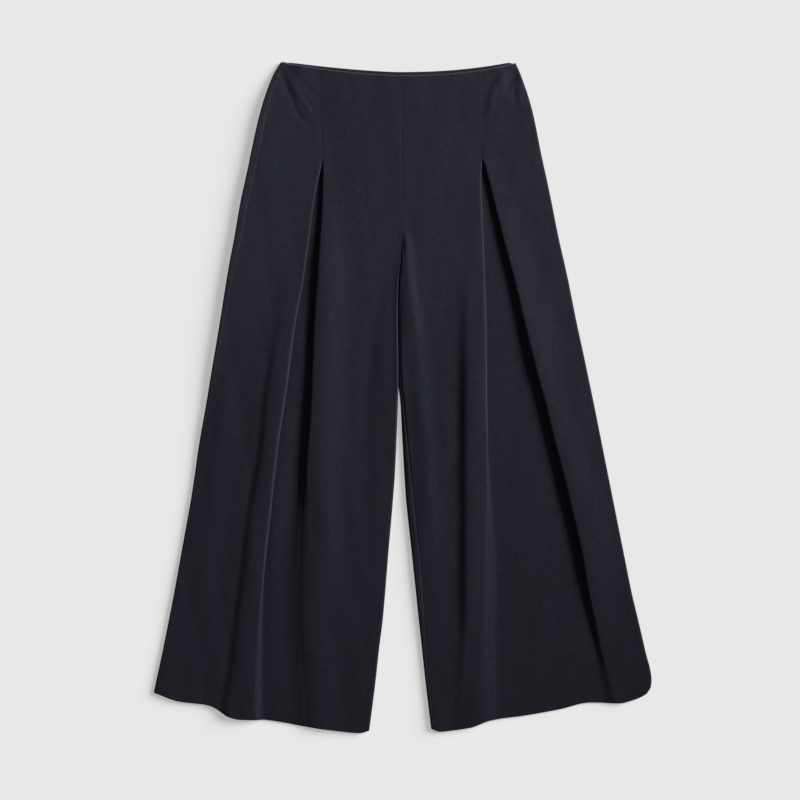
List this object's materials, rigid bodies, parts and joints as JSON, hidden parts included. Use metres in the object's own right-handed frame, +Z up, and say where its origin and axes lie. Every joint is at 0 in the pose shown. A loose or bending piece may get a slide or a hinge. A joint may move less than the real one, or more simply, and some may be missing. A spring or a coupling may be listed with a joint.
{
  "type": "wide-leg pull-on trousers",
  "caption": "Full-length palazzo trousers in dark navy knit, pull-on, with an inverted pleat in each front, laid flat on their back with the legs apart.",
  "frame": {"origin": "middle of the laid-out garment's bounding box, on the surface it lies on", "axes": "+Y towards the waist, +X towards the wearer's left leg (the right one in the picture), +Z up out of the front"},
  "size_m": [0.7458, 1.0042, 0.0106],
  "materials": {
    "navy_knit": "matte",
    "navy_knit_inside": "matte"
  },
  "bodies": {
    "root": {"front_right": "navy_knit", "front_left": "navy_knit", "back_right": "navy_knit", "back_left": "navy_knit", "waist_facing_back": "navy_knit_inside"}
  },
  "joints": []
}
